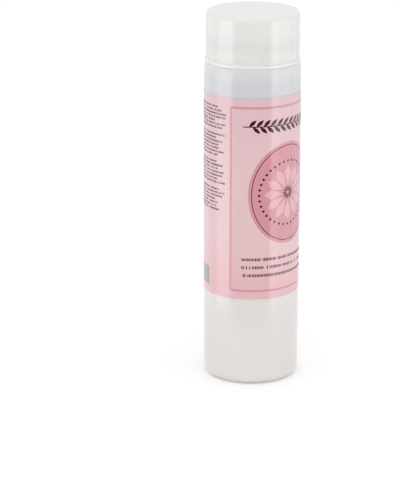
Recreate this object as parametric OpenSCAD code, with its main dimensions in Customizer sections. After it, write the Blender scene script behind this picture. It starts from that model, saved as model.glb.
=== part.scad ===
// Frosted bottle for nail polish remover, with a wrap label, a push-down dish pump
// that wets a cotton pad, and a pull-off overcap.
// The origin is the centre of the standing ring, and the front of the label faces -Y.

/* [Bottle] */
// Outer diameter of the straight wall
body_d = 51; // [48:0.5:58]
// Height of the flat shoulder above the table
shoulder_h = 172.4; // [160:0.2:200]
// Thickness of the wall
wall = 1; // [0.8:0.1:1.4]
// Thickness of the base
base_t = 1.2; // [1:0.1:2]
// Radius of the rounded heel
heel_r = 4; // [3:0.5:6]
// Height of the hollow under the base
push_up = 2.5; // [1.5:0.25:3.5]
// Width of the ring that the bottle stands on
foot_w = 2; // [1.5:0.25:3]
// Height over which the wall eases in below the shoulder
ease_h = 12; // [8:1:14]
// How far the wall eases in
ease_in = 0.4; // [0.2:0.1:0.8]
// Radius of the shoulder's outer edge
shoulder_r = 0.8; // [0.4:0.1:1.4]
// Width of the register notch in the heel
notch_w = 4; // [3:0.5:6]
// Height of the register notch
notch_h = 3.2; // [2:0.2:4]
// Depth of the register notch
notch_depth = 1.2; // [0.8:0.2:1.8]
// Angle of the register notch from the front of the label
notch_angle = 43; // [0:1:90]

/* [Neck] */
// Height of the neck above the shoulder
neck_h = 10; // [9:0.2:12]
// Diameter of the neck between its threads
neck_d = 30.4; // [29:0.2:32]
// Bore of the neck
neck_bore_d = 26; // [25:0.2:26.6]
// Rise of the thread in one turn
pitch = 4.2; // [3.8:0.1:4.4]
// Length of the thread in turns
thread_turns = 1.25; // [1:0.05:1.4]
// How far the thread stands out
thread_depth = 1.2; // [0.9:0.1:1.4]
// Height of the thread at its root
thread_w = 1.6; // [1.4:0.1:1.8]
// Gap between the two threads, on the flanks and at the crests
thread_clear = 0.3; // [0.25:0.05:0.4]

/* [Label] */
// Height of the label
label_h = 109; // [90:1:120]
// Distance from the shoulder down to the top of the label
label_drop = 14.9; // [14.5:0.1:24]
// Thickness of the film
label_t = 0.12; // [0.08:0.02:0.2]
// Gap between the label's two ends, at the back
label_gap = 1.5; // [0.5:0.1:4]

/* [Closure] */
// Gap between the shoulder and the closure
closure_gap = 0.1; // [0.1:0.05:0.4]
// Thickness of the bead that the overcap stands on
flange_t = 2.1; // [1.8:0.1:2.6]
// Height of the ring that holds the overcap
spigot_h = 8; // [6.5:0.25:9]
// Wall of that ring
spigot_wall = 1.3; // [1:0.1:1.5]
// Thickness of the ledge between the ring and the threaded part
ledge_t = 1.3; // [1:0.1:1.6]
// Wall outside the thread
boss_wall = 1.5; // [1.2:0.1:1.8]
// Thickness of the top
deck_t = 1.2; // [1:0.1:1.6]

/* [Overcap] */
// Wall of the overcap
cap_wall = 1.9; // [1.5:0.1:2]
// Thickness of its top
cap_top_t = 1.8; // [1.4:0.1:2.4]
// Radius of its top edge
cap_edge_r = 1.8; // [1.2:0.1:2.8]
// Step from the bottle's straight wall in to the overcap
cap_inset = 0.85; // [0.5:0.05:1]
// Gap between the overcap and the ring that holds it
cap_clear = 0.55; // [0.5:0.05:0.7]
// Height of the snap beads on both
bead_h = 0.25; // [0.15:0.05:0.25]
// Gap above the dish
head_room = 0.8; // [0.5:0.1:1.5]

/* [Dish] */
// Distance that the dish is pressed down
travel = 5; // [4:0.25:6]
// Gap left below the dish when it is pressed
press_reserve = 0.35; // [0.2:0.05:0.6]
// Thickness of the dish's floor
dish_floor_t = 1.3; // [1.1:0.1:1.8]
// Depth of the hollow that holds the cotton pad
dish_depth = 2.9; // [2.4:0.1:3.6]
// Wall of the dish
dish_wall = 1.6; // [1.3:0.1:1.8]
// Gap between the dish's skirt and the closure
skirt_clear = 0.6; // [0.4:0.1:0.7]
// Length of the hub that holds the stem
hub_l = 3.6; // [3:0.2:4.4]
// Diameter of the outlet button
button_d = 9; // [8:0.5:12]
// Height of the outlet gaps under the button
outlet_gap = 0.6; // [0.4:0.1:0.8]
// Ribs that hold the cotton pad off the floor of the dish
pad_ribs = 12; // [8:1:16]
// Height of those ribs
pad_rib_h = 0.9; // [0.5:0.1:1.2]

/* [Pump] */
// Thickness of the neck gasket
gasket_t = 0.8; // [0.6:0.1:1.2]
// Thickness of the housing's flange
rim_t = 1.2; // [1:0.1:1.6]
// Bore of the pump chamber
chamber_d = 13; // [12:0.25:14]
// Wall of the pump housing
housing_wall = 1; // [0.8:0.1:1.2]
// Length of the bearing that guides the stem
bearing_l = 3; // [2.4:0.2:4]
// Thickness of the stem guide's flange
guide_flange_t = 1; // [0.8:0.1:1.4]
// Diameter of the stem
stem_d = 7; // [6.6:0.1:7.4]
// Bore of the stem
stem_bore_d = 4.4; // [4:0.1:4.8]
// Length of the piston
piston_l = 7; // [6.5:0.25:8]
// How far the piston slips on the rod to open the outlet
slip = 1; // [0.8:0.1:1.2]
// Radial gap of each sliding fit
fit = 0.05; // [0.02:0.01:0.08]
// Diameter of the inlet ball
ball_d = 4.4; // [4:0.1:4.8]
// How far the inlet ball lifts
ball_lift = 1; // [0.6:0.1:1.4]
// Thickness of the ball cage
cage_t = 1.2; // [1:0.1:1.6]
// Length of the return spring at rest
spring_l = 18; // [17:0.5:22]
// Outer diameter of the return spring
spring_d = 7.6; // [7.4:0.1:7.8]
// Diameter of the spring's wire
wire_d = 0.8; // [0.6:0.05:0.9]
// Turns of the return spring
spring_turns = 8; // [6:1:8]
// Outer diameter of the dip tube
tube_d = 5; // [4.4:0.1:5.4]
// Wall of the dip tube
tube_wall = 0.7; // [0.5:0.05:0.9]
// Length of the dip tube inside its socket
socket_l = 8; // [6:0.5:12]
// Gap between the dip tube and the base
tube_clear = 2.3; // [1.5:0.1:4]

/* [Hidden] */
$fn = 120;
// How far a cut runs past the surface that it opens
over = 1;
// Gap where two flat faces pass or rest near each other
play = 0.1;
// Clearance around parts that don't touch
room = 0.3;
// How far one form runs into another that it is joined to
join = 0.4;
// Straight pieces in each rounded corner
corner_steps = 8;

// Bottle
body_r = body_d / 2;
neck_r = neck_d / 2;
bore_r = neck_bore_d / 2;
neck_top = shoulder_h + neck_h;
ease_z = shoulder_h - ease_h;
ease_steps = 6;
foot_out_r = body_r - heel_r;
foot_in_r = foot_out_r - foot_w;
dome_run = 1.6 * push_up;
dome_blend = 1.5;
foot_blend = 0.5;
neck_blend = 0.5;
shoulder_in_r = 0.6;
lip_r = 0.4;
mouth_r = 1;

// Thread
crest_r = neck_r + thread_depth;
nut_r = crest_r + thread_clear;
crest_w = thread_w / 2;
thread_sink = 0.4;
thread_z = shoulder_h + (neck_h - pitch * thread_turns) / 2 + thread_w / 4;
thread_steps = 36;
run_out = 0.12;
least_rise = 0.1;

// Levels from the neck up
gasket_top = neck_top + gasket_t;
rim_top = gasket_top + rim_t;
deck_z = rim_top + play / 2;
deck_top = deck_z + deck_t;
guide_z = deck_top + play;
guide_top = guide_z + guide_flange_t;
dish_z = guide_top + travel + press_reserve;
dish_floor = dish_z + dish_floor_t;
dish_top = dish_floor + dish_depth;
cap_ceiling = dish_top + head_room;
cap_top = cap_ceiling + cap_top_t;

// Closure and overcap
flange_z = shoulder_h + closure_gap;
flange_top = flange_z + flange_t;
flange_r = body_r - ease_in;
flange_edge = 0.4 * flange_t;
seam_edge = 0.2;
cap_in_edge_r = 0.8;
spigot_top = flange_top + spigot_h;
cap_r = body_r - cap_inset;
cap_bore_r = cap_r - cap_wall;
spigot_r = cap_bore_r - cap_clear;
spigot_in_r = spigot_r - spigot_wall;
bead_z = flange_top + spigot_h * 0.6;
bead_half = 1;
bead_offset = 2.2 * bead_half;
boss_r = nut_r + boss_wall;
edge_r = 0.4;
blend_r = 0.5;

// Dish
skirt_in_r = boss_r + skirt_clear;
dish_r = skirt_in_r + dish_wall;
skirt_z = spigot_top + travel + room;
hub_wall = 1.9;
stem_r = stem_d / 2;
hub_r = stem_r + hub_wall;
outlet_ledge = 0.4;
outlet_r = stem_bore_d / 2 + outlet_ledge;
dish_slope = 0.5;
rim_edge_r = 0.7;
button_r = button_d / 2;
button_t = 1.3;
web_t = 1.2;
pad_rib_w = 1;
pad_rib_in_r = button_r + 2;
pad_rib_out_r = dish_r - 3 * dish_wall;

// Pump, from the stem guide down
well_room = 0.8;
plug_wall = 2;
upstand_wall = 1.4;
guide_overlap = 1.5;
well_r = hub_r + well_room;
plug_r = well_r + plug_wall;
upstand_r = plug_r + upstand_wall;
deck_hole_r = upstand_r + room;
guide_r = deck_hole_r + guide_overlap;
well_z = dish_z - hub_l - travel - room;
plug_z = well_z - bearing_l;
chamber_r = chamber_d / 2;
rim_inset = 0.2;
rim_r = neck_r - rim_inset;
gasket_w = 3.3;
piston_top = plug_z - room;
piston_z = piston_top - piston_l;
piston_r = chamber_r - fit;
piston_wall = 0.8;
piston_web_t = 1.2;
waist = 0.4;
lip_l = 1.4;
sleeve_r = 2.5;
sleeve_wall = 1.2;
sleeve_reach = 0.8;
sleeve_top = piston_top - piston_l / 2;
sleeve_z = piston_z - sleeve_reach;
stem_z = sleeve_top + slip + fit;
rod_r = 1.5;
rod_plug_l = 6;
seat_gap = 0.1;
foot_edge = 0.1;
foot_t = 1;
cone_ledge = 0.4;
foot_r = spring_d / 2 + foot_edge;
cone_top_z = sleeve_z + sleeve_r - seat_gap - rod_r;
cone_z = cone_top_z - (foot_r - rod_r - cone_ledge);
foot_z = cone_z - foot_t;
pilot_r = spring_d / 2 - wire_d - room;
pilot_l = 2;
chamber_z = foot_z - travel - room;
pocket_room = 0.6;
pocket_r = spring_d / 2 + pocket_room;
pocket_z = chamber_z - (chamber_r - pocket_r);
cage_top = foot_z - spring_l;
cage_z = cage_top - cage_t;
ball_r = ball_d / 2;
ball_z = cage_z - play - ball_lift - ball_r;
ball_side_room = 1;
ball_room_r = ball_r + ball_side_room;
inlet_r = 1.4;
inlet_l = 1.2;
seat_apex = ball_z - (ball_r + fit) * sqrt(2);
socket_top = seat_apex + inlet_r - inlet_l;
housing_z = socket_top - socket_l;
tube_r = tube_d / 2;
tube_z = push_up + base_t + tube_clear;
vent_r = 0.5;
vent_z = piston_top - travel + slip + vent_r + play;
wire_r = wire_d / 2;
coil_r = spring_d / 2 - wire_r;
wire_sides = 6;
coil_rings = 8;
end_gap = 0.45;
label_z = shoulder_h - label_drop - label_h;
gap_angle = 360 * label_gap / (PI * body_d);

function unit(v) = v / norm(v);

// Arc that rounds the corner at b, between a and c
function corner(a, b, c, r) =
    let (
        to_a = unit(a - b),
        to_c = unit(c - b),
        half = acos(to_a * to_c) / 2,
        reach = r / tan(half),
        centre = b + unit(to_a + to_c) * r / sin(half),
        first = b + to_a * reach - centre,
        last = b + to_c * reach - centre,
        start = atan2(first.y, first.x),
        turn = atan2(cross(first, last), first * last)
    )
    [for (i = [0:corner_steps]) centre + r * [cos(start + turn * i / corner_steps), sin(start + turn * i / corner_steps)]];

// Outline of [radius, height, corner radius] points, with its corners rounded
function rounded(outline) =
    let (n = len(outline), flat = [for (p = outline) [p.x, p.y]])
    [for (i = [0:n - 1])
        each outline[i].z > 0
            ? corner(flat[(i + n - 1) % n], flat[i], flat[(i + 1) % n], outline[i].z)
            : [flat[i]]];

module turned(outline) {
    rotate_extrude() polygon(rounded(outline));
}

// One unbroken tube or ridge through rings of points
module swept(rings) {
    n = len(rings);
    m = len(rings[0]);
    sides = [for (i = [0:n - 2], j = [0:m - 1])
        let (a = i * m + j, b = i * m + (j + 1) % m)
        each [[a, b + m, a + m], [a, b, b + m]]];
    first = [for (j = [1:m - 2]) [0, j + 1, j]];
    last = [for (j = [1:m - 2]) [(n - 1) * m, (n - 1) * m + j, (n - 1) * m + j + 1]];
    polyhedron([for (ring = rings) each ring], concat(sides, first, last), convexity = 6);
}

// Thread ridge that runs out into its wall at both ends
module ridge(root, crest, z) {
    steps = round(thread_steps * thread_turns);
    swept([for (i = [0:steps])
        let (
            share = i / steps,
            rise = max(least_rise, min(1, share / run_out, (1 - share) / run_out)),
            tip = root + (crest - root) * rise,
            angle = 360 * thread_turns * share,
            mid = z + pitch * thread_turns * share,
            section = [[root, -thread_w / 2], [tip, -crest_w / 2], [tip, crest_w / 2], [root, thread_w / 2]],
            order = crest > root ? [0, 1, 2, 3] : [3, 2, 1, 0]
        )
        [for (k = order) [section[k].x * cos(angle), section[k].x * sin(angle), mid + section[k].y]]]);
}

// Radius of the straight wall and the stretch that eases in, less an inset
function ease_points(inset) =
    [for (i = [0:ease_steps - 1])
        [body_r - inset - ease_in * pow(i / ease_steps, 2), ease_z + ease_h * i / ease_steps, 0]];

module register_notch(grow) {
    rotate(notch_angle)
        translate([-notch_w / 2 - grow, -body_r - over, -over])
            cube([notch_w + 2 * grow, notch_depth + grow + over, notch_h + grow + over]);
}

module bottle_form() {
    turned(concat(
        [
            [0, push_up, 0],
            [foot_in_r - dome_run, push_up, dome_blend],
            [foot_in_r, 0, foot_blend],
            [body_r, 0, heel_r]
        ],
        ease_points(0),
        [
            [flange_r, shoulder_h, shoulder_r],
            [neck_r, shoulder_h, neck_blend],
            [neck_r, neck_top, lip_r],
            [0, neck_top, 0]
        ]
    ));
}

module bottle_hollow() {
    turned(concat(
        [
            [0, push_up + base_t, 0],
            [foot_in_r - dome_run + wall, push_up + base_t, dome_blend],
            [foot_in_r + wall, base_t, foot_blend],
            [body_r - wall, base_t, heel_r - wall]
        ],
        ease_points(wall),
        [
            [flange_r - wall, shoulder_h - wall, shoulder_in_r],
            [bore_r, shoulder_h - wall, mouth_r],
            [bore_r, neck_top + over, 0],
            [0, neck_top + over, 0]
        ]
    ));
}

module bottle() {
    color([0.9, 0.91, 0.91, 0.6]) {
        difference() {
            bottle_form();
            register_notch(0);
            difference() {
                bottle_hollow();
                register_notch(wall);
            }
        }
        ridge(neck_r - thread_sink, crest_r, thread_z);
    }
}

module label() {
    color([0.93, 0.77, 0.8])
        rotate(90 + gap_angle / 2)
            rotate_extrude(angle = 360 - gap_angle)
                translate([body_r, label_z]) square([label_t, label_h]);
}

module closure() {
    color([0.93, 0.93, 0.92]) {
        turned([
            [spigot_in_r, flange_z, 0],
            [flange_r, flange_z, seam_edge],
            [flange_r, flange_top, flange_edge],
            [spigot_r, flange_top, 0],
            [spigot_r, bead_z - bead_half, 0],
            [spigot_r + bead_h, bead_z, 0],
            [spigot_r, bead_z + bead_half, 0],
            [spigot_r, spigot_top, edge_r],
            [boss_r, spigot_top, blend_r],
            [boss_r, deck_top, edge_r],
            [deck_hole_r, deck_top, 0],
            [deck_hole_r, deck_z, 0],
            [nut_r, deck_z, 0],
            [nut_r, flange_z, 0],
            [boss_r, flange_z, edge_r],
            [boss_r, spigot_top - ledge_t, blend_r],
            [spigot_in_r, spigot_top - ledge_t, blend_r]
        ]);
        ridge(nut_r + thread_sink, neck_r + thread_clear, thread_z - (thread_w + crest_w) / 2 - thread_clear);
    }
}

module neck_gasket() {
    color([0.96, 0.96, 0.94])
        difference() {
            translate([0, 0, neck_top]) cylinder(r = rim_r, h = gasket_t);
            translate([0, 0, neck_top - over]) cylinder(r = rim_r - gasket_w, h = gasket_t + 2 * over);
        }
}

module pump_housing() {
    color([0.95, 0.95, 0.95])
        difference() {
            turned([
                [inlet_r, socket_top, 0],
                [tube_r, socket_top, 0],
                [tube_r, housing_z, 0],
                [tube_r + housing_wall, housing_z, edge_r],
                [tube_r + housing_wall, socket_top, blend_r],
                [ball_room_r + housing_wall, socket_top + housing_wall, blend_r],
                [ball_room_r + housing_wall, cage_z - housing_wall, blend_r],
                [pocket_r + housing_wall, cage_z, blend_r],
                [pocket_r + housing_wall, pocket_z, blend_r],
                [chamber_r + housing_wall, chamber_z, blend_r],
                [chamber_r + housing_wall, plug_z - housing_wall - (plug_r - chamber_r), blend_r],
                [plug_r + housing_wall, plug_z - housing_wall, blend_r],
                [plug_r + housing_wall, gasket_top, 0],
                [rim_r, gasket_top, 0],
                [rim_r, rim_top, edge_r],
                [upstand_r, rim_top, 0],
                [upstand_r, guide_z, 0],
                [plug_r, guide_z, 0],
                [plug_r, plug_z, 0],
                [chamber_r, plug_z, 0],
                [chamber_r, chamber_z, 0],
                [pocket_r, pocket_z, 0],
                [pocket_r, cage_z, 0],
                [ball_room_r, cage_z, 0],
                [ball_room_r, seat_apex + ball_room_r, 0],
                [inlet_r, seat_apex + inlet_r, 0]
            ]);
            translate([0, 0, vent_z])
                rotate([0, 90, 0])
                    cylinder(r = vent_r, h = chamber_r + housing_wall + over, $fn = 24);
        }
}

module stem_guide() {
    color([0.94, 0.94, 0.92])
        turned([
            [stem_r + fit, plug_z, 0],
            [plug_r, plug_z, 0],
            [plug_r, guide_z, 0],
            [guide_r, guide_z, 0],
            [guide_r, guide_top, edge_r],
            [well_r, guide_top, edge_r],
            [well_r, well_z, 0],
            [stem_r + fit, well_z, 0]
        ]);
}

module inlet_ball() {
    color("silver")
        translate([0, 0, ball_z]) sphere(r = ball_r, $fn = 60);
}

module ball_cage() {
    cage_hole_r = 1.1;
    cage_holes = 4;
    color([0.9, 0.9, 0.88])
        difference() {
            translate([0, 0, cage_z]) cylinder(r = pocket_r, h = cage_t);
            for (i = [0:cage_holes - 1])
                rotate(360 * i / cage_holes)
                    translate([pocket_r / 2, 0, cage_z - over])
                        cylinder(r = cage_hole_r, h = cage_t + 2 * over, $fn = 32);
        }
}

// Height of the wire's centre after a number of turns
function coil_z(turn) =
    let (
        end_pitch = wire_d + end_gap,
        mid_pitch = (spring_l - wire_d - 2 * end_pitch) / (spring_turns - 2)
    )
    cage_top + wire_r + end_pitch * min(turn, 1) + mid_pitch * max(0, min(turn, spring_turns - 1) - 1)
        + end_pitch * max(0, turn - spring_turns + 1);

coil_points = [for (i = [0:coil_rings * spring_turns])
    let (turn = i / coil_rings)
    [coil_r * cos(360 * turn), coil_r * sin(360 * turn), coil_z(turn)]];

coil_gap = min([for (i = [0:len(coil_points) - 1], j = [i + coil_rings / 2:len(coil_points) - 1])
    norm(coil_points[i] - coil_points[j])]) - wire_d;
echo(least_gap_between_coils = coil_gap);

module return_spring() {
    color("gainsboro")
        swept([for (i = [0:len(coil_points) - 1])
            let (angle = 360 * i / coil_rings)
            [for (k = [0:wire_sides - 1])
                let (around = 360 * k / wire_sides + 90)
                coil_points[i] + wire_r * [cos(around) * cos(angle), cos(around) * sin(angle), sin(around)]]]);
}

module dip_tube() {
    cut_angle = 35;
    color([0.95, 0.95, 0.95])
        difference() {
            translate([0, 0, tube_z]) cylinder(r = tube_r, h = socket_top - tube_z);
            translate([0, 0, tube_z - over])
                cylinder(r = tube_r - tube_wall, h = socket_top - tube_z + 2 * over);
            translate([-tube_r, 0, tube_z])
                rotate([0, -cut_angle, 0])
                    translate([-tube_d, -tube_d, -2 * tube_d]) cube([4 * tube_d, 2 * tube_d, 2 * tube_d]);
        }
}

module piston() {
    web_z = sleeve_top - piston_web_t - room;
    inner_r = piston_r - piston_wall;
    waist_r = piston_r - waist;
    color([0.92, 0.92, 0.9])
        turned([
            [sleeve_r, sleeve_z, 0],
            [sleeve_r + sleeve_wall, sleeve_z, 0],
            [sleeve_r + sleeve_wall, web_z, 0],
            [inner_r, web_z, 0],
            [inner_r, piston_z, 0],
            [piston_r, piston_z, 0],
            [piston_r, piston_z + lip_l / 2, 0],
            [waist_r, piston_z + lip_l, 0],
            [waist_r, piston_top - lip_l, 0],
            [piston_r, piston_top - lip_l / 2, 0],
            [piston_r, piston_top, 0],
            [inner_r, piston_top, 0],
            [inner_r, web_z + piston_web_t, 0],
            [sleeve_r + sleeve_wall, web_z + piston_web_t, 0],
            [sleeve_r + sleeve_wall, sleeve_top, 0],
            [sleeve_r, sleeve_top, 0]
        ]);
}

module stem() {
    color([0.95, 0.95, 0.93])
        difference() {
            translate([0, 0, stem_z]) cylinder(r = stem_r, h = dish_z - stem_z);
            translate([0, 0, stem_z - over]) cylinder(r = stem_bore_d / 2, h = dish_z - stem_z + 2 * over);
        }
}

// Two crossed bars inside a circle
module cross(r, z, h) {
    intersection() {
        translate([0, 0, z]) cylinder(r = r, h = h);
        union() {
            translate([-r - over, -web_t / 2, z]) cube([2 * (r + over), web_t, h]);
            translate([-web_t / 2, -r - over, z]) cube([web_t, 2 * (r + over), h]);
        }
    }
}

module valve_rod() {
    color([0.93, 0.93, 0.9]) {
        turned([
            [0, foot_z - pilot_l, 0],
            [pilot_r, foot_z - pilot_l, edge_r],
            [pilot_r, foot_z, 0],
            [foot_r, foot_z, 0],
            [foot_r, cone_z, 0],
            [rod_r + cone_top_z - cone_z, cone_z, 0],
            [rod_r, cone_top_z, 0],
            [rod_r, stem_z + join, 0],
            [0, stem_z + join, 0]
        ]);
        cross(stem_bore_d / 2, stem_z, rod_plug_l);
    }
}

module pad_rib() {
    translate([pad_rib_in_r, -pad_rib_w / 2, dish_floor - join])
        cube([pad_rib_out_r - pad_rib_in_r, pad_rib_w, pad_rib_h + join]);
    for (r = [pad_rib_in_r, pad_rib_out_r])
        translate([r, 0, dish_floor - join]) cylinder(d = pad_rib_w, h = pad_rib_h + join, $fn = 24);
}

module dish() {
    color([0.95, 0.95, 0.94]) {
        turned([
            [outlet_r, dish_z, 0],
            [stem_r, dish_z, 0],
            [stem_r, dish_z - hub_l, 0],
            [hub_r, dish_z - hub_l, edge_r],
            [hub_r, dish_z, blend_r],
            [skirt_in_r, dish_z, blend_r],
            [skirt_in_r, skirt_z, 0],
            [dish_r, skirt_z, edge_r],
            [dish_r, dish_top, rim_edge_r],
            [dish_r - dish_wall, dish_top, rim_edge_r],
            [dish_r - 2 * dish_wall, dish_floor + dish_slope, dish_wall / 2],
            [button_r + room, dish_floor, 0],
            [outlet_r, dish_floor, 0]
        ]);
        for (i = [0:pad_ribs - 1]) rotate(360 * i / pad_ribs) pad_rib();
    }
}

module outlet_button() {
    button_z = dish_floor + outlet_gap;
    dimple_r = button_r / 2;
    color([0.96, 0.96, 0.95]) {
        turned([
            [0, button_z, 0],
            [button_r, button_z, 0],
            [button_r, button_z + button_t, edge_r],
            [dimple_r, button_z + button_t, edge_r],
            [0, button_z + button_t - edge_r, 0]
        ]);
        cross(outlet_r, dish_z, button_z + join - dish_z);
        cross(button_r - room, dish_floor, outlet_gap + join);
    }
}

module overcap() {
    color([0.93, 0.93, 0.92, 0.7])
        turned([
            [cap_bore_r, flange_top, 0],
            [cap_r, flange_top, seam_edge],
            [cap_r, cap_top, cap_edge_r],
            [0, cap_top, 0],
            [0, cap_ceiling, 0],
            [cap_bore_r, cap_ceiling, cap_in_edge_r],
            [cap_bore_r, bead_z - bead_offset + bead_half, 0],
            [cap_bore_r - bead_h, bead_z - bead_offset, 0],
            [cap_bore_r, bead_z - bead_offset - bead_half, 0]
        ]);
}

bottle();
label();
closure();
neck_gasket();
pump_housing();
stem_guide();
inlet_ball();
ball_cage();
return_spring();
dip_tube();
piston();
stem();
valve_rod();
dish();
outlet_button();
overcap();
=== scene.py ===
import math

import bmesh
import bpy
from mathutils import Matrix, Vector


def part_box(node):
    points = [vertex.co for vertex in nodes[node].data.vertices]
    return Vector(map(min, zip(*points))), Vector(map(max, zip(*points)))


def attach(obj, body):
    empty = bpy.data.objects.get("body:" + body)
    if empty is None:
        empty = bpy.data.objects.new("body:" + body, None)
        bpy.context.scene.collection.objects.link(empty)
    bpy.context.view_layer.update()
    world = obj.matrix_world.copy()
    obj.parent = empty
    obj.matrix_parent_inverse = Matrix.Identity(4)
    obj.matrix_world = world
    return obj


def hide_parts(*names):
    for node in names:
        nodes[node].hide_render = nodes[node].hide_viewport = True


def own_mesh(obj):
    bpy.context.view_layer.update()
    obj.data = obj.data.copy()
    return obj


# A frosted bottle with a wrap label, a dish pump and a pull-off overcap.
# The front of the label faces -Y, and sizes are in metres.

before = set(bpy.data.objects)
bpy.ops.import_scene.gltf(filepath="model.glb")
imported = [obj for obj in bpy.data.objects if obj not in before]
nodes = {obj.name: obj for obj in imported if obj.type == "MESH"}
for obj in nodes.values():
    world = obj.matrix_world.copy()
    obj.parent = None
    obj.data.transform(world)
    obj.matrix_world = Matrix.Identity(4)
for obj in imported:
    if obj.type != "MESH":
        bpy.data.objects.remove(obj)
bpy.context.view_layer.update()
scene = bpy.context.scene
mm = 0.001
print("frame loaded:", len(nodes), "nodes")


# Small helpers for node trees

def connect(tree, value, socket):
    if isinstance(value, bpy.types.NodeSocket):
        tree.links.new(value, socket)
    else:
        socket.default_value = value


def addNode(tree, kind, inputs=None, **settings):
    node = tree.nodes.new(kind)
    for key, value in settings.items():
        setattr(node, key, value)
    for key, value in (inputs or {}).items():
        connect(tree, value, node.inputs[key])
    return node


def calc(tree, operation, *values):
    node = addNode(tree, "ShaderNodeMath", operation=operation)
    for index, value in enumerate(values):
        connect(tree, value, node.inputs[index])
    return node.outputs[0]


def combine(tree, x=0.0, y=0.0, z=0.0):
    return addNode(tree, "ShaderNodeCombineXYZ", {"X": x, "Y": y, "Z": z}).outputs[0]


def separate(tree, vector):
    return addNode(tree, "ShaderNodeSeparateXYZ", {"Vector": vector}).outputs


def newTree(name, kind, inputs, outputs):
    tree = bpy.data.node_groups.new(name, kind)
    for label, socketType, value in inputs:
        socket = tree.interface.new_socket(name=label, in_out="INPUT", socket_type=socketType)
        if value is not None:
            socket.default_value = value
    for label, socketType in outputs:
        tree.interface.new_socket(name=label, in_out="OUTPUT", socket_type=socketType)
    return tree, tree.nodes.new("NodeGroupInput"), tree.nodes.new("NodeGroupOutput")


def srgb(red, green, blue):
    # a colour as it is seen, turned into the linear one that a socket takes
    def linear(value):
        value /= 255
        return value / 12.92 if value <= 0.04045 else ((value + 0.055) / 1.055) ** 2.4
    return (linear(red), linear(green), linear(blue), 1)


# Shader groups that more than one material uses

def makeFrostGroup():
    # fine moulded frosting: a bump, a roughness that wanders, and a soft mottle
    grainHeight = 0.05 * mm
    tree, source, sink = newTree("frostGrain", "ShaderNodeTree", [
        ("Grain Scale", "NodeSocketFloat", 2500.0),
        ("Grain Depth", "NodeSocketFloat", 0.2),
        ("Mottle Scale", "NodeSocketFloat", 90.0),
        ("Roughness", "NodeSocketFloat", 0.4),
        ("Roughness Spread", "NodeSocketFloat", 0.08),
    ], [("Normal", "NodeSocketVector"), ("Roughness", "NodeSocketFloat"), ("Mottle", "NodeSocketFloat")])
    out = source.outputs
    place = addNode(tree, "ShaderNodeTexCoord").outputs["Object"]
    grain = addNode(tree, "ShaderNodeTexNoise", {
        "Vector": place, "Scale": out["Grain Scale"], "Detail": 3.0})
    mottle = addNode(tree, "ShaderNodeTexNoise", {
        "Vector": place, "Scale": out["Mottle Scale"], "Detail": 4.0})
    bump = addNode(tree, "ShaderNodeBump", {
        "Strength": out["Grain Depth"], "Distance": grainHeight, "Height": grain.outputs["Fac"]})
    wander = calc(tree, "SUBTRACT", mottle.outputs["Fac"], 0.5)
    rough = calc(tree, "MULTIPLY_ADD", wander, out["Roughness Spread"], out["Roughness"])
    tree.links.new(bump.outputs["Normal"], sink.inputs["Normal"])
    tree.links.new(rough, sink.inputs["Roughness"])
    tree.links.new(mottle.outputs["Fac"], sink.inputs["Mottle"])
    return tree


def makeTwoToneGroup():
    # two shades mixed by a mask; the mix node's colour sockets are inputs 6 and 7 and output 2
    tree, source, sink = newTree("twoTone", "ShaderNodeTree", [
        ("Mask", "NodeSocketFloat", 0.5),
        ("Light", "NodeSocketColor", (1, 1, 1, 1)),
        ("Dark", "NodeSocketColor", (0.8, 0.8, 0.8, 1)),
    ], [("Color", "NodeSocketColor")])
    mix = addNode(tree, "ShaderNodeMix", data_type="RGBA")
    tree.links.new(source.outputs["Mask"], mix.inputs["Factor"])
    tree.links.new(source.outputs["Light"], mix.inputs[6])
    tree.links.new(source.outputs["Dark"], mix.inputs[7])
    tree.links.new(mix.outputs[2], sink.inputs["Color"])
    return tree


def makeZoneGroup():
    # a mask that goes from 0 to 1 over a stretch of height, upwards or downwards
    tree, source, sink = newTree("heightZone", "ShaderNodeTree", [
        ("Start", "NodeSocketFloat", 0.0),
        ("Full", "NodeSocketFloat", 0.1),
    ], [("Mask", "NodeSocketFloat")])
    height = separate(tree, addNode(tree, "ShaderNodeTexCoord").outputs["Object"])["Z"]
    ramp = addNode(tree, "ShaderNodeMapRange", {
        "Value": height, "From Min": source.outputs["Start"], "From Max": source.outputs["Full"]},
        interpolation_type="SMOOTHSTEP")
    tree.links.new(ramp.outputs["Result"], sink.inputs["Mask"])
    return tree


frostGroup = makeFrostGroup()
twoToneGroup = makeTwoToneGroup()
zoneGroup = makeZoneGroup()


def useGroup(tree, group, values):
    return addNode(tree, "ShaderNodeGroup", values, node_tree=group).outputs


def newMaterial(name, fixed):
    material = bpy.data.materials.new(name)
    material.use_nodes = True
    shader = material.node_tree.nodes["Principled BSDF"]
    for key, value in fixed.items():
        shader.inputs[key].default_value = value
    return material, material.node_tree, shader


def grainedMaterial(name, light, dark, grain, fixed, zones=()):
    # two close shades that follow a mottle, then zones of height
    # a zone is the height where it starts, the height where it is full, and its colour
    material, tree, shader = newMaterial(name, fixed)
    surface = useGroup(tree, frostGroup, grain)
    colour = useGroup(tree, twoToneGroup, {"Mask": surface["Mottle"], "Light": light, "Dark": dark})["Color"]
    for start, full, tint in zones:
        mask = useGroup(tree, zoneGroup, {"Start": start, "Full": full})["Mask"]
        colour = useGroup(tree, twoToneGroup, {"Mask": mask, "Light": colour, "Dark": tint})["Color"]
    tree.links.new(colour, shader.inputs["Base Color"])
    tree.links.new(surface["Roughness"], shader.inputs["Roughness"])
    tree.links.new(surface["Normal"], shader.inputs["Normal"])
    return material


def scatter(weight, depth):
    # light that goes a little way into the plastic, all colours alike
    return {"Subsurface Weight": weight, "Subsurface Radius": (1, 1, 1), "Subsurface Scale": depth}


# Materials of the moulded pieces and the steel

capLow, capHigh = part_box("overcap")
labelLow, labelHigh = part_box("label")

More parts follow.
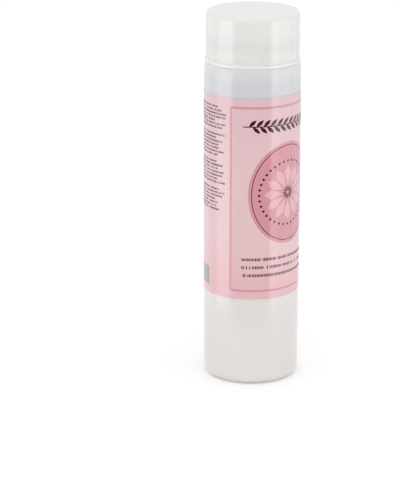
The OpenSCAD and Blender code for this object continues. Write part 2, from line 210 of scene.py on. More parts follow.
frostedBottle = grainedMaterial(
    "frostedBottle", srgb(242, 238, 235), srgb(238, 233, 230),
    {"Grain Scale": 2600.0, "Grain Depth": 0.12, "Mottle Scale": 70.0,
     "Roughness": 0.15, "Roughness Spread": 0.05},
    {**scatter(0.35, 4 * mm), "IOR": 1.49},
    [(labelHigh.z - 20 * mm, labelHigh.z, srgb(219, 220, 225)),  # grey-blue above the liquid
     (capLow.z - 11 * mm, capLow.z - 6.5 * mm, srgb(227, 227, 227)),  # neutral again towards the shoulder
     (capLow.z - 3 * mm, capLow.z - 2.4 * mm, srgb(240, 240, 238))])  # painted highlight: the shoulder's edge made pale against the shade under the bead

frostedCap = grainedMaterial(
    "frostedCap", srgb(241, 240, 237), srgb(238, 237, 234),
    {"Grain Scale": 2600.0, "Grain Depth": 0.12, "Mottle Scale": 60.0,
     "Roughness": 0.15, "Roughness Spread": 0.05},
    {**scatter(0.35, 4 * mm), "IOR": 1.49},
    [(capLow.z + 17 * mm, capLow.z + 7.8 * mm, srgb(232, 231, 229)),  # painted shade: greyer lower down, darkest where the ring inside shades the frosted wall
     (capLow.z + 6.8 * mm, capLow.z + 4.5 * mm, srgb(236, 235, 232)),  # a little paler again below that painted shade
     (capLow.z + 0.9 * mm, capLow.z + 0.3 * mm, srgb(247, 247, 244)),  # painted highlight: the bottom edge made bright against the shade in the groove
     (capHigh.z - 2.2 * mm, capHigh.z - 1.4 * mm, srgb(230, 229, 226)),  # painted shade on the rounded top edge
     (capHigh.z - 0.7 * mm, capHigh.z, srgb(223, 223, 221))])  # painted shade: the flat top made darker to even out the light it gets from above

frostedClosure = grainedMaterial(
    "frostedClosure", srgb(241, 240, 236), srgb(238, 237, 233),
    {"Grain Scale": 2200.0, "Grain Depth": 0.12, "Mottle Scale": 80.0,
     "Roughness": 0.3, "Roughness Spread": 0.06},
    {**scatter(0.3, 3 * mm), "IOR": 1.49})

whitePlastic = grainedMaterial(
    "whitePlastic", srgb(242, 242, 240), srgb(237, 237, 235),
    {"Grain Scale": 1800.0, "Grain Depth": 0.1, "Mottle Scale": 120.0,
     "Roughness": 0.32, "Roughness Spread": 0.06},
    {**scatter(0.2, 2 * mm), "IOR": 1.49})

naturalPlastic = grainedMaterial(
    "naturalPlastic", srgb(236, 235, 228), srgb(228, 227, 220),
    {"Grain Scale": 1500.0, "Grain Depth": 0.1, "Mottle Scale": 110.0,
     "Roughness": 0.38, "Roughness Spread": 0.08},
    {**scatter(0.3, 3 * mm), "IOR": 1.5})

tubePlastic = grainedMaterial(
    "tubePlastic", srgb(236, 238, 236), srgb(230, 232, 230),
    {"Grain Scale": 900.0, "Grain Depth": 0.08, "Mottle Scale": 150.0,
     "Roughness": 0.25, "Roughness Spread": 0.06},
    {**scatter(0.4, 3 * mm), "IOR": 1.5})

gasketFoam = grainedMaterial(
    "gasketFoam", srgb(240, 240, 236), srgb(222, 222, 217),
    {"Grain Scale": 3500.0, "Grain Depth": 0.9, "Mottle Scale": 900.0,
     "Roughness": 0.85, "Roughness Spread": 0.1},
    scatter(0.1, 1 * mm))

steel = grainedMaterial(
    "drawnSteel", srgb(214, 214, 216), srgb(190, 190, 192),
    {"Grain Scale": 4000.0, "Grain Depth": 0.15, "Mottle Scale": 400.0,
     "Roughness": 0.28, "Roughness Spread": 0.15},
    {"Metallic": 1.0})


# Materials of the film and the inks

def printedMaterial(name, light, dark, zones=()):
    return grainedMaterial(
        name, light, dark,
        {"Grain Scale": 1200.0, "Grain Depth": 0.05, "Mottle Scale": 260.0,
         "Roughness": 0.16, "Roughness Spread": 0.05},
        {"IOR": 1.5}, zones)


filmPink = printedMaterial(
    "filmPink", srgb(235, 191, 197), srgb(232, 187, 194),
    [(labelLow.z + 6 * mm, labelLow.z + 35 * mm, srgb(233, 199, 203)),  # paler above the foot
     (labelLow.z + 65 * mm, labelLow.z + 105 * mm, srgb(228, 194, 199))])  # a little greyer at the top
inkRose = printedMaterial("inkRose", srgb(219, 154, 165), srgb(215, 149, 160))
inkLine = printedMaterial("inkLine", srgb(220, 156, 165), srgb(216, 151, 160))
inkBlush = printedMaterial("inkBlush", srgb(233, 184, 192), srgb(230, 179, 187))
inkMaroon = printedMaterial("inkMaroon", srgb(74, 22, 34), srgb(66, 19, 30))
inkBrown = printedMaterial("inkBrown", srgb(76, 40, 46), srgb(70, 36, 42))
inkGrey = printedMaterial("inkGrey", srgb(158, 164, 158), srgb(150, 156, 150))
print("materials made")

finishes = {
    "bottle": frostedBottle, "closure": frostedClosure, "overcap": frostedCap,
    "dish": whitePlastic, "outlet_button": whitePlastic, "stem_guide": naturalPlastic,
    "pump_housing": naturalPlastic, "ball_cage": naturalPlastic, "piston": naturalPlastic,
    "stem": naturalPlastic, "valve_rod": naturalPlastic, "dip_tube": tubePlastic,
    "neck_gasket": gasketFoam, "inlet_ball": steel, "return_spring": steel, "label": filmPink,
}
for name, material in finishes.items():
    mesh = nodes[name].data
    mesh.materials.clear()
    mesh.materials.append(material)


# Geometry Nodes: how a tree is run and turned into a plain mesh

def runTrees(name, trees, mesh=None):
    piece = bpy.data.objects.new(name + "Source", mesh or bpy.data.meshes.new(name + "Source"))
    scene.collection.objects.link(piece)
    for tree, values in trees:
        modifier = piece.modifiers.new(tree.name, "NODES")
        modifier.node_group = tree
        for item in tree.interface.items_tree:
            if item.item_type == "SOCKET" and item.in_out == "INPUT" and item.name in values:
                modifier[item.identifier] = values[item.name]
    graph = bpy.context.evaluated_depsgraph_get()
    plain = bpy.data.meshes.new_from_object(piece.evaluated_get(graph))
    plain.name = name
    bpy.data.objects.remove(piece)
    result = bpy.data.objects.new(name, plain)
    scene.collection.objects.link(result)
    return result


geometryIn = ("Geometry", "NodeSocketGeometry", None)
geometryOut = ("Geometry", "NodeSocketGeometry")


def pointPlace(tree):
    return separate(tree, addNode(tree, "GeometryNodeInputPosition").outputs[0])


def makeWrapTree():
    # thickens a flat print and bends it round the bottle: x runs round, y runs up, z stands out
    weldDistance = 0.001 * mm
    tree, source, sink = newTree("wrapRound", "GeometryNodeTree", [
        geometryIn,
        ("Film Radius", "NodeSocketFloat", 0.0256),
        ("Bottom", "NodeSocketFloat", 0.0),
        ("Thickness", "NodeSocketFloat", 0.00003),
        ("Material", "NodeSocketMaterial", None),
    ], [geometryOut])
    out = source.outputs
    raised = addNode(tree, "GeometryNodeExtrudeMesh", {
        "Mesh": out["Geometry"], "Offset Scale": out["Thickness"], "Individual": False}, mode="FACES")
    under = addNode(tree, "GeometryNodeFlipFaces", {"Mesh": out["Geometry"]})
    both = addNode(tree, "GeometryNodeJoinGeometry")
    tree.links.new(under.outputs[0], both.inputs[0])
    tree.links.new(raised.outputs["Mesh"], both.inputs[0])
    closed = addNode(tree, "GeometryNodeMergeByDistance", {
        "Geometry": both.outputs[0], "Distance": weldDistance})
    spot = pointPlace(tree)
    angle = calc(tree, "DIVIDE", spot["X"], out["Film Radius"])
    reach = calc(tree, "ADD", out["Film Radius"], spot["Z"])
    across = calc(tree, "MULTIPLY", reach, calc(tree, "SINE", angle))
    depth = calc(tree, "MULTIPLY", calc(tree, "MULTIPLY", reach, -1.0), calc(tree, "COSINE", angle))
    height = calc(tree, "ADD", spot["Y"], out["Bottom"])
    bent = addNode(tree, "GeometryNodeSetPosition", {
        "Geometry": closed.outputs["Geometry"], "Position": combine(tree, across, depth, height)})
    named = addNode(tree, "GeometryNodeSetMaterial", {
        "Geometry": bent.outputs[0], "Material": out["Material"]})
    tree.links.new(named.outputs[0], sink.inputs["Geometry"])
    return tree


def makeLinesTree():
    # blocks of fine upright strokes in rows, with gaps and ragged ends
    tree, source, sink = newTree("fineLines", "GeometryNodeTree", [
        geometryIn,
        ("Rows", "NodeSocketInt", 10),
        ("Columns", "NodeSocketInt", 40),
        ("Row Pitch", "NodeSocketFloat", 0.0022),
        ("Stroke Pitch", "NodeSocketFloat", 0.0006),
        ("Stroke Width", "NodeSocketFloat", 0.0003),
        ("Stroke Height", "NodeSocketFloat", 0.001),
        ("Height Spread", "NodeSocketFloat", 0.3),
        ("Gap Share", "NodeSocketFloat", 0.16),
        ("Ragged Share", "NodeSocketFloat", 0.3),
        ("Block Rows", "NodeSocketInt", 8),
        ("Left", "NodeSocketFloat", 0.0),
        ("Top", "NodeSocketFloat", 0.0),
        ("Seed", "NodeSocketInt", 1),
    ], [geometryOut])
    out = source.outputs
    count = calc(tree, "MULTIPLY", out["Rows"], out["Columns"])
    index = addNode(tree, "GeometryNodeInputIndex").outputs[0]
    row = calc(tree, "FLOOR", calc(tree, "DIVIDE", calc(tree, "ADD", index, 0.5), out["Columns"]))
    column = calc(tree, "SUBTRACT", index, calc(tree, "MULTIPLY", row, out["Columns"]))
    across = calc(tree, "MULTIPLY_ADD", column, out["Stroke Pitch"], out["Left"])
    down = calc(tree, "SUBTRACT", out["Top"], calc(tree, "MULTIPLY", row, out["Row Pitch"]))
    points = addNode(tree, "GeometryNodePoints", {"Count": count, "Position": combine(tree, across, down)})

    def chance(key, seedStep, low=0.0, high=1.0):
        # a random number for each key; inputs 2 and 3 and output 1 are the node's plain numbers
        seed = calc(tree, "ADD", out["Seed"], float(seedStep))
        node = addNode(tree, "FunctionNodeRandomValue", {2: low, 3: high, "ID": key, "Seed": seed},
                       data_type="FLOAT")
        return node.outputs[1]

    gap = calc(tree, "LESS_THAN", chance(index, 1), out["Gap Share"])
    share = calc(tree, "DIVIDE", column, out["Columns"])
    rowEnd = calc(tree, "SUBTRACT", 1.0, calc(tree, "MULTIPLY", chance(row, 2), out["Ragged Share"]))
    beyond = calc(tree, "GREATER_THAN", share, rowEnd)
    blockStep = calc(tree, "ADD", out["Block Rows"], 1.0)
    between = calc(tree, "COMPARE", calc(tree, "FLOORED_MODULO", row, blockStep), out["Block Rows"], 0.5)
    away = calc(tree, "MAXIMUM", calc(tree, "MAXIMUM", gap, beyond), between)
    kept = addNode(tree, "GeometryNodeDeleteGeometry", {
        "Geometry": points.outputs[0], "Selection": away}, domain="POINT")
    stroke = addNode(tree, "GeometryNodeMeshGrid", {
        "Size X": out["Stroke Width"], "Size Y": out["Stroke Height"], "Vertices X": 2, "Vertices Y": 2})
    tall = calc(tree, "MULTIPLY_ADD", chance(index, 3, -1.0, 1.0), out["Height Spread"], 1.0)
    many = addNode(tree, "GeometryNodeInstanceOnPoints", {
        "Points": kept.outputs[0], "Instance": stroke.outputs["Mesh"],
        "Scale": combine(tree, 1.0, tall, 1.0)})
    real = addNode(tree, "GeometryNodeRealizeInstances", {"Geometry": many.outputs[0]})
    tree.links.new(real.outputs[0], sink.inputs["Geometry"])
    return tree


def makeLeavesTree():
    # leaves set in a ring, or in a row that leans them to either side in turn
    bluntShare = 0.02  # the ends of a leaf keep this share of its width
    tree, source, sink = newTree("leafSpray", "GeometryNodeTree", [
        geometryIn,
        ("Count", "NodeSocketInt", 8),
        ("Step", "NodeSocketFloat", 0.0),
        ("Ring Radius", "NodeSocketFloat", 0.0),
        ("Turn Step", "NodeSocketFloat", 0.0),
        ("Lean", "NodeSocketFloat", 0.0),
        ("Leaf Length", "NodeSocketFloat", 0.01),
        ("Leaf Width", "NodeSocketFloat", 0.004),
        ("Taper", "NodeSocketFloat", 1.0),
        ("Centre X", "NodeSocketFloat", 0.0),
        ("Centre Y", "NodeSocketFloat", 0.0),
    ], [geometryOut])
    out = source.outputs
    # one leaf: a square grid of unit size, drawn in to the leaf's outline
    grid = addNode(tree, "GeometryNodeMeshGrid", {
        "Size X": 1.0, "Size Y": 1.0, "Vertices X": 9, "Vertices Y": 17})
    spot = pointPlace(tree)
    along = calc(tree, "ADD", spot["Y"], 0.5)
    swell = calc(tree, "SINE", calc(tree, "MULTIPLY", calc(tree, "POWER", along, out["Taper"]), math.pi))
    width = calc(tree, "MULTIPLY", out["Leaf Width"], calc(tree, "MAXIMUM", swell, bluntShare))
    shape = combine(tree, calc(tree, "MULTIPLY", spot["X"], width),
                    calc(tree, "MULTIPLY", along, out["Leaf Length"]))
    leaf = addNode(tree, "GeometryNodeSetPosition", {"Geometry": grid.outputs["Mesh"], "Position": shape})
    # where each leaf stands, and which way it points
    index = addNode(tree, "GeometryNodeInputIndex").outputs[0]
    turn = calc(tree, "MULTIPLY", index, out["Turn Step"])
    side = calc(tree, "SUBTRACT", 1.0, calc(tree, "MULTIPLY", calc(tree, "FLOORED_MODULO", index, 2.0), 2.0))
    angle = calc(tree, "MULTIPLY_ADD", side, out["Lean"], turn)
    placeX = calc(tree, "ADD", calc(tree, "MULTIPLY_ADD", index, out["Step"], out["Centre X"]),
                  calc(tree, "MULTIPLY", out["Ring Radius"], calc(tree, "SINE", turn)))
    placeY = calc(tree, "MULTIPLY_ADD", calc(tree, "COSINE", turn), out["Ring Radius"], out["Centre Y"])
    points = addNode(tree, "GeometryNodePoints", {
        "Count": out["Count"], "Position": combine(tree, placeX, placeY)})
    many = addNode(tree, "GeometryNodeInstanceOnPoints", {
        "Points": points.outputs[0], "Instance": leaf.outputs[0],
        "Rotation": combine(tree, z=calc(tree, "MULTIPLY", angle, -1.0))})
    real = addNode(tree, "GeometryNodeRealizeInstances", {"Geometry": many.outputs[0]})
    tree.links.new(real.outputs[0], sink.inputs["Geometry"])
    return tree


def makeCoilTree():
    # an open coil spring with one close turn at each end
    tree, source, sink = newTree("coilSpring", "GeometryNodeTree", [
        geometryIn,
        ("Turns", "NodeSocketFloat", 8.0),
        ("Steps", "NodeSocketInt", 384),
        ("Coil Radius", "NodeSocketFloat", 0.0034),
        ("Wire Radius", "NodeSocketFloat", 0.0004),
        ("Wire Sides", "NodeSocketInt", 14),
        ("Bottom", "NodeSocketFloat", 0.0),
        ("Length", "NodeSocketFloat", 0.018),
        ("End Pitch", "NodeSocketFloat", 0.00125),
        ("Material", "NodeSocketMaterial", None),
    ], [geometryOut])
    out = source.outputs
    line = addNode(tree, "GeometryNodeMeshLine", {"Count": calc(tree, "ADD", out["Steps"], 1.0)})
    index = addNode(tree, "GeometryNodeInputIndex").outputs[0]
    turn = calc(tree, "MULTIPLY", calc(tree, "DIVIDE", index, out["Steps"]), out["Turns"])
    # the first and the last turn rise by the end pitch, and the turns between share the rest
    wire = calc(tree, "MULTIPLY", out["Wire Radius"], 2.0)
    free = calc(tree, "SUBTRACT", calc(tree, "SUBTRACT", out["Length"], wire),
                calc(tree, "MULTIPLY", out["End Pitch"], 2.0))
    midTurns = calc(tree, "SUBTRACT", out["Turns"], 2.0)
    midPitch = calc(tree, "DIVIDE", free, midTurns)
    first = calc(tree, "MULTIPLY", calc(tree, "MINIMUM", turn, 1.0), out["End Pitch"])
    middle = calc(tree, "MULTIPLY", midPitch, calc(
        tree, "MAXIMUM", calc(tree, "MINIMUM", calc(tree, "SUBTRACT", turn, 1.0), midTurns), 0.0))
    last = calc(tree, "MULTIPLY", out["End Pitch"], calc(
        tree, "MAXIMUM", calc(tree, "SUBTRACT", calc(tree, "SUBTRACT", turn, midTurns), 1.0), 0.0))
    start = calc(tree, "ADD", out["Bottom"], out["Wire Radius"])
    height = calc(tree, "ADD", calc(tree, "ADD", start, first), calc(tree, "ADD", middle, last))
    angle = calc(tree, "MULTIPLY", turn, 2 * math.pi)
    helix = combine(tree, calc(tree, "MULTIPLY", out["Coil Radius"], calc(tree, "COSINE", angle)),
                    calc(tree, "MULTIPLY", out["Coil Radius"], calc(tree, "SINE", angle)), height)
    wound = addNode(tree, "GeometryNodeSetPosition", {"Geometry": line.outputs[0], "Position": helix})
    path = addNode(tree, "GeometryNodeMeshToCurve", {"Mesh": wound.outputs[0]})
    section = addNode(tree, "GeometryNodeCurvePrimitiveCircle", {
        "Resolution": out["Wire Sides"], "Radius": out["Wire Radius"]})
    tube = addNode(tree, "GeometryNodeCurveToMesh", {
        "Curve": path.outputs[0], "Profile Curve": section.outputs["Curve"], "Fill Caps": True})
    smooth = addNode(tree, "GeometryNodeSetShadeSmooth", {"Geometry": tube.outputs[0]})
    real = addNode(tree, "GeometryNodeRealizeInstances", {"Geometry": smooth.outputs[0]})
    named = addNode(tree, "GeometryNodeSetMaterial", {
        "Geometry": real.outputs[0], "Material": out["Material"]})
    tree.links.new(named.outputs[0], sink.inputs["Geometry"])
    return tree


wrapTree = makeWrapTree()
linesTree = makeLinesTree()
leavesTree = makeLeavesTree()
coilTree = makeCoilTree()
print("geometry trees made")


# Flat meshes that the label's film and inks start from

def flatMesh(name, points, faces):
    mesh = bpy.data.meshes.new(name)
    mesh.from_pydata([(x, y, 0) for x, y in points], [], faces)
    return mesh


def gridMesh(name, left, right, low, high, columns, rows):
    points = [(left + (right - left) * i / columns, low + (high - low) * j / rows)
              for j in range(rows + 1) for i in range(columns + 1)]
    wide = columns + 1
    faces = [(j * wide + i, j * wide + i + 1, (j + 1) * wide + i + 1, (j + 1) * wide + i)
             for j in range(rows) for i in range(columns)]
    return flatMesh(name, points, faces)


def bandMesh(name, outer, inner):
    count = len(outer)
    faces = [(i, (i + 1) % count, count + (i + 1) % count, count + i) for i in range(count)]
    return flatMesh(name, outer + inner, faces)


def roundedOutline(left, right, low, high, radius, segment, cornerSteps=8):
    # points round a rectangle with rounded corners, closely spaced on its straight sides too
    corners = [(right - radius, high - radius, 0), (left + radius, high - radius, 90),
               (left + radius, low + radius, 180), (right - radius, low + radius, 270)]
    spans = [right - left - 2 * radius, high - low - 2 * radius]

    def onCorner(corner, degrees):
        x, y, start = corner
        angle = math.radians(start + degrees)
        return x + radius * math.cos(angle), y + radius * math.sin(angle)

    points = []
    for index, corner in enumerate(corners):
        points += [onCorner(corner, 90 * i / cornerSteps) for i in range(cornerSteps + 1)]
        begin, end = points[-1], onCorner(corners[(index + 1) % 4], 0)
        count = max(2, round(spans[index % 2] / segment))
        points += [(begin[0] + (end[0] - begin[0]) * i / count, begin[1] + (end[1] - begin[1]) * i / count)
                   for i in range(1, count)]
    return points


def frameMesh(name, left, right, low, high, radius, width, segment):
    outer = roundedOutline(left, right, low, high, radius, segment)
    inner = []
    for x, y in outer:
        centre = Vector((max(left + radius, min(right - radius, x)),
                         max(low + radius, min(high - radius, y))))
        point = Vector((x, y))
        inner.append(tuple(point - (point - centre).normalized() * width))
    return bandMesh(name, outer, inner)


def ovalPoints(centre, radii, sectors):
    angles = [2 * math.pi * i / sectors for i in range(sectors)]
    return [(centre[0] + radii[0] * math.cos(angle), centre[1] + radii[1] * math.sin(angle))
            for angle in angles]


def ovalMesh(name, centre, radii, sectors, rings):
    points = [centre]
    for ring in range(1, rings + 1):
        share = ring / rings
        points += ovalPoints(centre, [radius * share for radius in radii], sectors)
    faces = [(0, 1 + i, 1 + (i + 1) % sectors) for i in range(sectors)]
    for ring in range(rings - 1):
        low, high = 1 + ring * sectors, 1 + (ring + 1) * sectors
        faces += [(low + i, high + i, high + (i + 1) % sectors, low + (i + 1) % sectors)
                  for i in range(sectors)]
    return flatMesh(name, points, faces)


def ovalBandMesh(name, centre, radii, width, sectors):
    inner = [radius - width for radius in radii]
    return bandMesh(name, ovalPoints(centre, radii, sectors), ovalPoints(centre, inner, sectors))


# Label: a film round the bottle, and the print on it as thin layers of ink

labelFilm = {"thickness": 0.12 * mm, "gap": 1.5 * mm, "segment": 1.2 * mm, "rows": 12,
             "inkStep": 0.018 * mm}  # each layer of ink stands this far above the one below
filmInner = labelHigh.x - labelFilm["thickness"]
labelHeight = labelHigh.z - labelLow.z


def layOn(name, material, layer, trees=(), mesh=None):
    # layer 0 is the film itself, and the inks are layers 1 to 3
    piece = runTrees(name, [*trees, (wrapTree, {
        "Film Radius": filmInner, "Bottom": labelLow.z,
        "Thickness": labelFilm["thickness"] + layer * labelFilm["inkStep"], "Material": material})], mesh)
    for polygon in piece.data.polygons:
        polygon.use_smooth = False
    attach(piece, "bottle")
    return piece


halfRound = math.pi * filmInner - labelFilm["gap"] / 2
film = layOn("labelFilm", filmPink, 0, mesh=gridMesh(
    "filmFlat", -halfRound, halfRound, 0, labelHeight,
    round(2 * halfRound / labelFilm["segment"]), labelFilm["rows"]))
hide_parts("label")

frontFrame = {"half": 33 * mm, "low": 4 * mm, "high": 104.6 * mm, "corner": 1.3 * mm, "line": 1.25 * mm}
layOn("frontFrame", inkLine, 1, mesh=frameMesh(
    "frontFrame", -frontFrame["half"], frontFrame["half"], frontFrame["low"], frontFrame["high"],
    frontFrame["corner"], frontFrame["line"], labelFilm["segment"]))

medallion = {"centre": (0.0, 57 * mm), "radii": (23 * mm, 27.5 * mm), "sectors": 120, "rings": 18,
             "rimInset": 1.6 * mm, "rimWidth": 0.4 * mm}
layOn("medallionField", inkRose, 1, mesh=ovalMesh(
    "medallionField", medallion["centre"], medallion["radii"], medallion["sectors"], medallion["rings"]))
layOn("medallionRim", inkMaroon, 2, mesh=ovalBandMesh(
    "medallionRim", medallion["centre"], [radius - medallion["rimInset"] for radius in medallion["radii"]],
    medallion["rimWidth"], medallion["sectors"]))


def layRing(name, material, layer, ring):
    # leaves, petals or beads in a ring round the middle of the medallion
    layOn(name, material, layer, trees=[(leavesTree, {
        "Count": ring["count"], "Ring Radius": ring["radius"], "Turn Step": 2 * math.pi / ring["count"],
        "Leaf Length": ring["length"], "Leaf Width": ring["width"], "Taper": ring["taper"],
        "Centre X": medallion["centre"][0], "Centre Y": medallion["centre"][1]})])


rosette = {"count": 12, "radius": 3.5 * mm, "length": 11 * mm, "width": 4.6 * mm, "taper": 1.5}
rosetteHeart = {"count": 12, "radius": 0.8 * mm, "length": 3 * mm, "width": 0.9 * mm, "taper": 1.0}
rosetteBeads = {"count": 36, "radius": 16.4 * mm, "length": 1.6 * mm, "width": 1.3 * mm, "taper": 1.0}
layRing("rosette", inkBlush, 2, rosette)
layRing("rosetteHeart", inkMaroon, 3, rosetteHeart)
layRing("rosetteBeads", inkMaroon, 3, rosetteBeads)

# a garland where a label has its title: a stem with leaves that lean along it
sprig = {"count": 25, "step": 1.9 * mm, "leafLength": 5.4 * mm, "leafWidth": 1.9 * mm,
         "lean": math.radians(48), "y": 94 * mm}
sprigEnd = (sprig["count"] - 1) * sprig["step"] / 2
layOn("titleSprig", inkMaroon, 1, trees=[(leavesTree, {
    "Count": sprig["count"], "Step": sprig["step"], "Lean": sprig["lean"], "Turn Step": math.pi,
    "Leaf Length": sprig["leafLength"], "Leaf Width": sprig["leafWidth"], "Taper": 1.0,
    "Centre X": -sprigEnd, "Centre Y": sprig["y"]})])
sprigStem = {"overhang": 3 * mm, "width": 0.55 * mm, "columns": 44}
stemEnd = sprigEnd + sprigStem["overhang"]
layOn("titleStem", inkMaroon, 2, mesh=gridMesh(
    "titleStem", -stemEnd, stemEnd, sprig["y"] - sprigStem["width"] / 2, sprig["y"] + sprigStem["width"] / 2,
    sprigStem["columns"], 1))

sidePrint = {"Row Pitch": 1.85 * mm, "Stroke Pitch": 0.5 * mm, "Stroke Width": 0.34 * mm,
             "Stroke Height": 0.9 * mm, "Height Spread": 0.28, "Gap Share": 0.13, "Ragged Share": 0.2,
             "Top": 103 * mm}
finePrintLeft = {**sidePrint, "Rows": 32, "Columns": 76, "Block Rows": 7, "Left": -73 * mm, "Seed": 5}
finePrintRight = {**sidePrint, "Rows": 40, "Columns": 72, "Block Rows": 9, "Left": 36 * mm, "Seed": 9}
frontLines = {"Row Pitch": 4.4 * mm, "Stroke Pitch": 0.8 * mm, "Stroke Width": 0.5 * mm,
              "Stroke Height": 1.5 * mm, "Height Spread": 0.22, "Gap Share": 0.13, "Ragged Share": 0.12,
              "Top": 22 * mm, "Rows": 3, "Columns": 66, "Block Rows": 9, "Left": -26 * mm, "Seed": 4}
layOn("finePrintLeft", inkBrown, 1, trees=[(linesTree, finePrintLeft)])
layOn("finePrintRight", inkBrown, 1, trees=[(linesTree, finePrintRight)])
layOn("frontLines", inkMaroon, 1, trees=[(linesTree, frontLines)])

batchPatch = {"left": -66 * mm, "right": -48 * mm, "low": 4.3 * mm, "high": 14.3 * mm,
              "columns": 18, "rows": 2}
layOn("batchPatch", inkGrey, 1, mesh=gridMesh("batchPatch", **batchPatch))
print("label made")


# Return spring: the same coil with a round, smooth wire

returnSpring = {"turns": 8.0, "endPitch": 1.25 * mm, "wire": 0.8 * mm, "pressedShare": 13 / 18,
                "steps": 384, "wireSides": 14}
springLow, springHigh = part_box("return_spring")
spring = runTrees("springCoil", [(coilTree, {
    "Turns": returnSpring["turns"], "Steps": returnSpring["steps"],
    "Coil Radius": springHigh.x - returnSpring["wire"] / 2,
    "Wire Radius": returnSpring["wire"] / 2, "Wire Sides": returnSpring["wireSides"],
    "Bottom": springLow.z, "Length": springHigh.z - springLow.z,
    "End Pitch": returnSpring["endPitch"], "Material": steel})])
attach(spring, "pump")
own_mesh(spring)
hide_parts("return_spring")
print("spring made")


# Floor, lights and camera

viewAngle = math.radians(-46)  # the photographed side, round from the front of the label


def turned(x, y, z):
    # a place given as the camera sees it (x right, y away), in the object's frame
    return Vector((x * math.cos(viewAngle) - y * math.sin(viewAngle),
                   x * math.sin(viewAngle) + y * math.cos(viewAngle), z))


def seenDirectly(tree):
    # 1 for what the camera, gloss and glass see, 0 for the light that falls on the object
    path = addNode(tree, "ShaderNodeLightPath").outputs
    return calc(tree, "MAXIMUM", path["Is Camera Ray"],
                calc(tree, "MAXIMUM", path["Is Glossy Ray"], path["Is Transmission Ray"]))


def makeFloor():
    floorLook = {"radius": 8.0, "sides": 96, "white": 0.8, "roughness": 0.7, "lift": 0.23}
    mesh = bpy.data.meshes.new("floor")
    form = bmesh.new()
    bmesh.ops.create_circle(form, cap_ends=True, segments=floorLook["sides"], radius=floorLook["radius"])
    form.to_mesh(mesh)
    form.free()
    floor = bpy.data.objects.new("floor", mesh)
    scene.collection.objects.link(floor)
    material, tree, shader = newMaterial("floorWhite", {
        "Base Color": (floorLook["white"],) * 3 + (1,), "Roughness": floorLook["roughness"],
        "Specular IOR Level": 0.0})
    glow = addNode(tree, "ShaderNodeEmission", {
        "Strength": calc(tree, "MULTIPLY", seenDirectly(tree), floorLook["lift"])})
    both = addNode(tree, "ShaderNodeAddShader")
    tree.links.new(shader.outputs[0], both.inputs[0])
    tree.links.new(glow.outputs[0], both.inputs[1])
    tree.links.new(both.outputs[0], tree.nodes["Material Output"].inputs["Surface"])
    mesh.materials.append(material)


def makeWorld():
    worldLight = {"ambient": 0.95, "seen": 1.0}
    world = bpy.data.worlds.new("studio")
    scene.world = world
    world.use_nodes = True
    tree = world.node_tree
    back = tree.nodes["Background"]
    strength = addNode(tree, "ShaderNodeMix", {
        "Factor": seenDirectly(tree), "A": worldLight["ambient"], "B": worldLight["seen"]})
    back.inputs["Color"].default_value = (1, 1, 1, 1)
    tree.links.new(strength.outputs[0], back.inputs["Strength"])


def areaLight(name, width, height, radiance):
    data = bpy.data.lights.new(name, "AREA")
    data.shape = "RECTANGLE"
    data.size, data.size_y = width, height
    data.energy = radiance * math.pi * width * height
    lamp = bpy.data.objects.new(name, data)
    scene.collection.objects.link(lamp)
    lamp.visible_camera = False
    return lamp


def makeCard(name, card, low, high):
    # a reflector card beside the object, which shows only as a band in the gloss
    start, end = (Vector((*card[key], 0)) for key in ("from", "to"))
    lamp = areaLight(name, (end - start).length, high - low, card["radiance"])
    middle = (start + end) / 2
    lamp.location = turned(middle.x, middle.y, (low + high) / 2)
    lamp.rotation_euler = (math.radians(90), 0, viewAngle + math.atan2(end.y - start.y, end.x - start.x))
    lamp.visible_diffuse = False


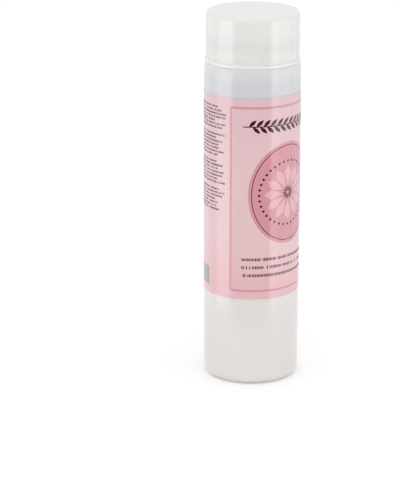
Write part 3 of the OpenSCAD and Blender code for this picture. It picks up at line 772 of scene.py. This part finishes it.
def makeFlag(name, flag, high):
    # a dark flag between the bright cards, which shows only in the gloss
    mesh = bpy.data.meshes.new(name)
    start, end = flag["from"], flag["to"]
    corners = [turned(*start, 0), turned(*end, 0), turned(*end, high), turned(*start, high)]
    mesh.from_pydata(corners, [], [(0, 1, 2, 3)])
    piece = bpy.data.objects.new(name, mesh)
    scene.collection.objects.link(piece)
    mesh.materials.append(newMaterial("flagCloth", {
        "Base Color": (flag["grey"],) * 3 + (1,), "Roughness": 1.0})[0])
    piece.visible_camera = piece.visible_diffuse = piece.visible_transmission = piece.visible_shadow = False


def makeSoftbox(name, box, aimHeight):
    # a square light that the object's gloss doesn't show
    lamp = areaLight(name, box["width"], box["width"], box["radiance"])
    lamp.location = turned(*box["place"])
    lamp.rotation_euler = (Vector((0, 0, aimHeight)) - lamp.location).to_track_quat("-Z", "Y").to_euler()
    lamp.visible_glossy = False


makeFloor()
makeWorld()

# cards and flag run from and to a place beside the object, as the camera sees it (x right, y away)
cards = {
    "cardLeftBack": {"from": (-0.100, 0.105), "to": (-0.1316, -0.0105), "radiance": 0.3},
    "cardLeft": {"from": (-0.1316, -0.0105), "to": (-0.112, -0.105), "radiance": 1.5},
    "cardStrip": {"from": (0.1000, -0.1160), "to": (0.1320, -0.0740), "radiance": 1.65},
    "cardRight": {"from": (0.133, -0.073), "to": (0.147, 0.009), "radiance": 0.95},
    "cardRightBack": {"from": (0.147, 0.009), "to": (0.130, 0.080), "radiance": 0.4},
}
flagFront = {"from": (-0.111, -0.106), "to": (0.099, -0.117), "grey": 0.02}
cardLow, cardHigh = 2 * mm, 200 * mm
for name, card in cards.items():
    makeCard(name, card, cardLow, cardHigh)
makeFlag("flagFront", flagFront, cardHigh)

softboxes = {
    "softboxTop": {"place": (0.08, -0.14, 1.1), "width": 0.5, "radiance": 0.8},
    "softboxFront": {"place": (-0.2, -1.25, 0.5), "width": 0.9, "radiance": 0.6},
}
for name, box in softboxes.items():
    makeSoftbox(name, box, 100 * mm)

cameraView = {"side": -27.6 * mm, "back": 1.1149, "height": 0.420, "pitch": 17.54,
              "lens": 156.1, "sensor": 36}
cameraData = bpy.data.cameras.new("camera")
cameraData.lens, cameraData.sensor_width = cameraView["lens"], cameraView["sensor"]
camera = bpy.data.objects.new("camera", cameraData)
scene.collection.objects.link(camera)
camera.location = turned(cameraView["side"], -cameraView["back"], cameraView["height"])
camera.rotation_euler = (math.radians(90 - cameraView["pitch"]), 0, viewAngle)
scene.camera = camera
scene.view_settings.view_transform = "Standard"
print("stage made")
